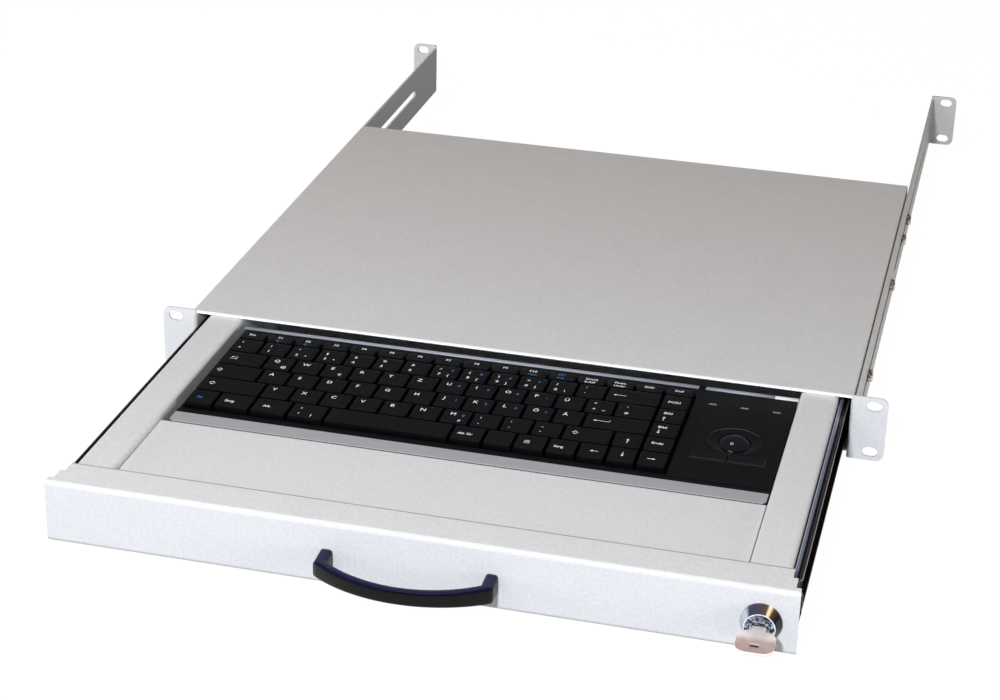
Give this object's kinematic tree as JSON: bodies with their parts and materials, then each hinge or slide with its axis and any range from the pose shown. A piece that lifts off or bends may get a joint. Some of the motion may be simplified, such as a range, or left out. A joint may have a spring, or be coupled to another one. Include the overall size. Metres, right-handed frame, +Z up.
{
  "type": "rack keyboard drawer",
  "caption": "Low rack drawer on ball slides with a compact keyboard and trackball, palm rest, bow handle and key lock, shown pulled out of its case.",
  "frame": {"origin": "centre of the four front ear slots, on the front face of the ears", "axes": "-Y out of the rack towards the user, +X to the user's right, +Z up"},
  "size_m": [0.4826, 0.8784, 0.0436],
  "materials": {
    "case_paint": "fine-grain light grey powder coat",
    "panel_paint": "light grey powder coat",
    "zinc": "zinc-plated steel",
    "screw_steel": "zinc-plated steel",
    "ball_steel": "polished steel",
    "handle_plastic": "satin black",
    "lock_chrome": "polished",
    "key_nickel": "nickel-plated",
    "black_plastic": "fine-grain black",
    "key_plastic": "satin black with white legends",
    "gloss_black": "smooth black",
    "silver_trim": "silver",
    "smoke_window": "clear dark window",
    "board_green": "circuit board",
    "dome_rubber": "silicone"
  },
  "bodies": {
    "case": {"case_floor": "case_paint", "left_side_plate": "case_paint", "right_side_plate": "case_paint", "top_cover": "case_paint", "cover_screws": "screw_steel", "rail_screws": "screw_steel", "left_slide_outer": "zinc", "right_slide_outer": "zinc", "lock_strike": "zinc"},
    "left_rail": {"left_rear_rail": "case_paint"},
    "right_rail": {"right_rear_rail": "case_paint"},
    "left_cage": {"left_ball_cage": "zinc", "left_balls": "ball_steel"},
    "right_cage": {"right_ball_cage": "zinc", "right_balls": "ball_steel"},
    "drawer": {"drawer_tray": "panel_paint", "front_panel": "panel_paint", "palm_rest": "panel_paint", "left_slide_inner": "zinc", "right_slide_inner": "zinc", "slide_screws": "screw_steel", "handle": "handle_plastic", "handle_screws": "screw_steel", "lock_housing": "lock_chrome", "lock_nut": "zinc", "keyboard_base": "black_plastic", "keyboard_top": "black_plastic", "key_plate": "black_plastic", "circuit_board": "board_green", "dome_sheet": "dome_rubber", "front_trim": "silver_trim", "rear_trim_left": "silver_trim", "rear_trim_right": "silver_trim", "trackball_plate": "black_plastic", "led_windows": "smoke_window", "retaining_ring": "gloss_black", "ball_housing": "black_plastic"},
    "lock": {"lock_plug": "lock_chrome", "lock_cam": "zinc", "cam_nut": "zinc"},
    "key": {"lock_key": "key_nickel"},
    "ball": {"trackball": "gloss_black"},
    "pitch_roller_shaft": {"pitch_roller": "zinc"},
    "roll_roller_shaft": {"roll_roller": "zinc"},
    "left_mouse_button": {"mouse_button_left": "key_plastic"},
    "right_mouse_button": {"mouse_button_right": "key_plastic"},
    "function_keys_caps": {"function_keys": "key_plastic"},
    "number_keys_caps": {"number_keys": "key_plastic"},
    "top_row_keys_caps": {"top_row_keys": "key_plastic"},
    "home_row_keys_caps": {"home_row_keys": "key_plastic"},
    "bottom_row_keys_caps": {"bottom_row_keys": "key_plastic"},
    "modifier_keys_caps": {"modifier_keys": "key_plastic"},
    "navigation_keys_caps": {"navigation_keys": "key_plastic"},
    "space_bar_cap": {"space_bar": "key_plastic"},
    "enter_key_cap": {"enter_key": "key_plastic"},
    "backspace_key_cap": {"backspace_key": "key_plastic"},
    "tab_key_cap": {"tab_key": "key_plastic"},
    "caps_lock_key_cap": {"caps_lock_key": "key_plastic"},
    "left_shift_key_cap": {"left_shift_key": "key_plastic"},
    "right_shift_key_cap": {"right_shift_key": "key_plastic"}
  },
  "joints": [
    {"name": "drawer_slide", "type": "slide", "parent": "case", "child": "drawer", "axis": [0, -1, 0], "range_m": [-0.2396, 0]},
    {"name": "left_cage_slide", "type": "slide", "parent": "case", "child": "left_cage", "axis": [0, -1, 0], "range_m": [-0.1198, 0]},
    {"name": "right_cage_slide", "type": "slide", "parent": "case", "child": "right_cage", "axis": [0, -1, 0], "range_m": [-0.1198, 0]},
    {"name": "left_rail_depth", "type": "slide", "parent": "case", "child": "left_rail", "axis": [0, 1, 0], "range_m": [0, 0.055]},
    {"name": "right_rail_depth", "type": "slide", "parent": "case", "child": "right_rail", "axis": [0, 1, 0], "range_m": [0, 0.055]},
    {"name": "lock_turn", "type": "hinge", "parent": "drawer", "child": "lock", "pos_m": [0.198, -0.2414, -0.00222], "axis": [0, 1, 0], "range_deg": [0, 90]},
    {"name": "key_pull", "type": "slide", "parent": "lock", "child": "key", "axis": [0, -1, 0], "range_m": [0, 0.03]},
    {"name": "trackball_roll", "type": "hinge", "parent": "drawer", "child": "ball", "pos_m": [0.1555, -0.071, 0.00588], "axis": [1, 0, 0], "continuous": true},
    {"name": "pitch_roller_spin", "type": "hinge", "parent": "drawer", "child": "pitch_roller_shaft", "pos_m": [0.1555, -0.0565, 0.00588], "axis": [1, 0, 0], "continuous": true},
    {"name": "roll_roller_spin", "type": "hinge", "parent": "drawer", "child": "roll_roller_shaft", "pos_m": [0.17, -0.071, 0.00588], "axis": [0, 1, 0], "continuous": true},
    {"name": "left_button_press", "type": "slide", "parent": "drawer", "child": "left_mouse_button", "axis": [0, 0, -1], "range_m": [0, 0.001], "stiffness_N_per_m": 600},
    {"name": "right_button_press", "type": "slide", "parent": "drawer", "child": "right_mouse_button", "axis": [0, 0, -1], "range_m": [0, 0.001], "stiffness_N_per_m": 600},
    {"name": "function_row_press", "type": "slide", "parent": "drawer", "child": "function_keys_caps", "axis": [0, 0, -1], "range_m": [0, 0.002], "stiffness_N_per_m": 5600},
    {"name": "number_row_press", "type": "slide", "parent": "drawer", "child": "number_keys_caps", "axis": [0, 0, -1], "range_m": [0, 0.002], "stiffness_N_per_m": 4550},
    {"name": "top_row_row_press", "type": "slide", "parent": "drawer", "child": "top_row_keys_caps", "axis": [0, 0, -1], "range_m": [0, 0.002], "stiffness_N_per_m": 4550},
    {"name": "home_row_row_press", "type": "slide", "parent": "drawer", "child": "home_row_keys_caps", "axis": [0, 0, -1], "range_m": [0, 0.002], "stiffness_N_per_m": 3850},
    {"name": "bottom_row_row_press", "type": "slide", "parent": "drawer", "child": "bottom_row_keys_caps", "axis": [0, 0, -1], "range_m": [0, 0.002], "stiffness_N_per_m": 3500},
    {"name": "modifier_row_press", "type": "slide", "parent": "drawer", "child": "modifier_keys_caps", "axis": [0, 0, -1], "range_m": [0, 0.002], "stiffness_N_per_m": 2800},
    {"name": "navigation_row_press", "type": "slide", "parent": "drawer", "child": "navigation_keys_caps", "axis": [0, 0, -1], "range_m": [0, 0.002], "stiffness_N_per_m": 2800},
    {"name": "space_bar_press", "type": "slide", "parent": "drawer", "child": "space_bar_cap", "axis": [0, 0, -1], "range_m": [0, 0.002], "stiffness_N_per_m": 350},
    {"name": "enter_press", "type": "slide", "parent": "drawer", "child": "enter_key_cap", "axis": [0, 0, -1], "range_m": [0, 0.002], "stiffness_N_per_m": 350},
    {"name": "backspace_press", "type": "slide", "parent": "drawer", "child": "backspace_key_cap", "axis": [0, 0, -1], "range_m": [0, 0.002], "stiffness_N_per_m": 350},
    {"name": "tab_press", "type": "slide", "parent": "drawer", "child": "tab_key_cap", "axis": [0, 0, -1], "range_m": [0, 0.002], "stiffness_N_per_m": 350},
    {"name": "caps_lock_press", "type": "slide", "parent": "drawer", "child": "caps_lock_key_cap", "axis": [0, 0, -1], "range_m": [0, 0.002], "stiffness_N_per_m": 350},
    {"name": "left_shift_press", "type": "slide", "parent": "drawer", "child": "left_shift_key_cap", "axis": [0, 0, -1], "range_m": [0, 0.002], "stiffness_N_per_m": 350},
    {"name": "right_shift_press", "type": "slide", "parent": "drawer", "child": "right_shift_key_cap", "axis": [0, 0, -1], "range_m": [0, 0.002], "stiffness_N_per_m": 350}
  ],
  "couplings": [
    {"joint": "left_cage_slide", "follows": "drawer_slide", "ratio": 0.5},
    {"joint": "right_cage_slide", "follows": "drawer_slide", "ratio": 0.5},
    {"joint": "pitch_roller_spin", "follows": "trackball_roll", "ratio": -8.4667}
  ]
}
